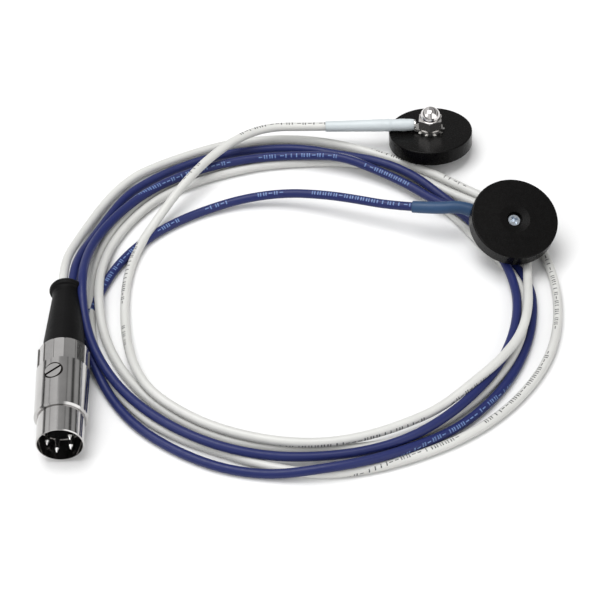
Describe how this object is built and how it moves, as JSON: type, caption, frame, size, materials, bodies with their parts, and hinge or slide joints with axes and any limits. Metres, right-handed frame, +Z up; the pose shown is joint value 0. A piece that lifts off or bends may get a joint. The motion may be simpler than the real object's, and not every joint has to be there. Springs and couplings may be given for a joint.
{
  "type": "two-electrode test lead",
  "caption": "Round multi-pin plug with a rubber boot; a white and a dark blue lead wound in a loose coil, each ending in a ring terminal bolted to a black disc electrode",
  "frame": {"origin": "on the table, under the middle of the box round the plug and the two electrodes", "axes": "+Z up off the table, -Y the way the plug's mouth points, +X from the plug towards the electrodes"},
  "size_m": [0.1526, 0.1447, 0.018],
  "materials": {
    "plug_nickel": "nickel plated, satin bright",
    "bright_steel": "bright zinc plated steel",
    "nut_chrome": "polished nickel plate",
    "contact_metal": "bright plated contact",
    "terminal_tin": "tin plated",
    "copper": "bare stranded copper",
    "insert_black": "moulded black plastic",
    "boot_rubber": "matte black rubber",
    "disc_black": "smooth black conductive rubber or plastic",
    "white_insulation": "white insulation, soft gloss",
    "blue_insulation": "navy insulation, soft gloss",
    "white_sleeve": "greyish white shrink tube",
    "blue_sleeve": "steel blue shrink tube"
  },
  "bodies": {
    "plug_and_leads": {"blue_conductor": "copper", "blue_crimped_end": "copper", "blue_inner_sleeve": "blue_sleeve", "blue_lead_end": "blue_insulation", "blue_lead_in_plug": "blue_insulation", "blue_lead_start": "blue_insulation", "blue_outer_sleeve": "blue_sleeve", "blue_ring_terminal": "terminal_tin", "boot": "boot_rubber", "cable_clamp": "bright_steel", "clamping_screw": "plug_nickel", "contact_insert": "insert_black", "contact_pin_1": "contact_metal", "contact_pin_2": "contact_metal", "contact_pin_3": "contact_metal", "contact_pin_4": "contact_metal", "inner_shell_lower": "plug_nickel", "inner_shell_upper": "plug_nickel", "lead_coil": "white_insulation", "plug_handle": "plug_nickel", "plug_shield": "plug_nickel", "white_conductor": "copper", "white_crimped_end": "copper", "white_inner_sleeve": "white_sleeve", "white_lead_end": "white_insulation", "white_lead_in_plug": "white_insulation", "white_lead_start": "white_insulation", "white_outer_sleeve": "white_sleeve", "white_ring_terminal": "terminal_tin"},
    "white_electrode": {"white_disc": "disc_black", "white_stud": "bright_steel", "white_lock_washer": "bright_steel", "white_cap_nut": "nut_chrome"},
    "blue_electrode": {"blue_disc": "disc_black", "blue_stud": "bright_steel", "blue_lock_washer": "bright_steel", "blue_cap_nut": "nut_chrome"}
  },
  "joints": [
    {"name": "white_electrode_turn", "type": "hinge", "parent": "plug_and_leads", "child": "white_electrode", "pos_m": [0.0428, 0.0549, 0.0071], "axis": [-0.038, 0.168, 0.9851], "continuous": true},
    {"name": "blue_electrode_turn", "type": "hinge", "parent": "plug_and_leads", "child": "blue_electrode", "pos_m": [0.06318, 0.00977, 0.00914], "axis": [-0.108, 0.3269, -0.9389], "continuous": true}
  ]
}
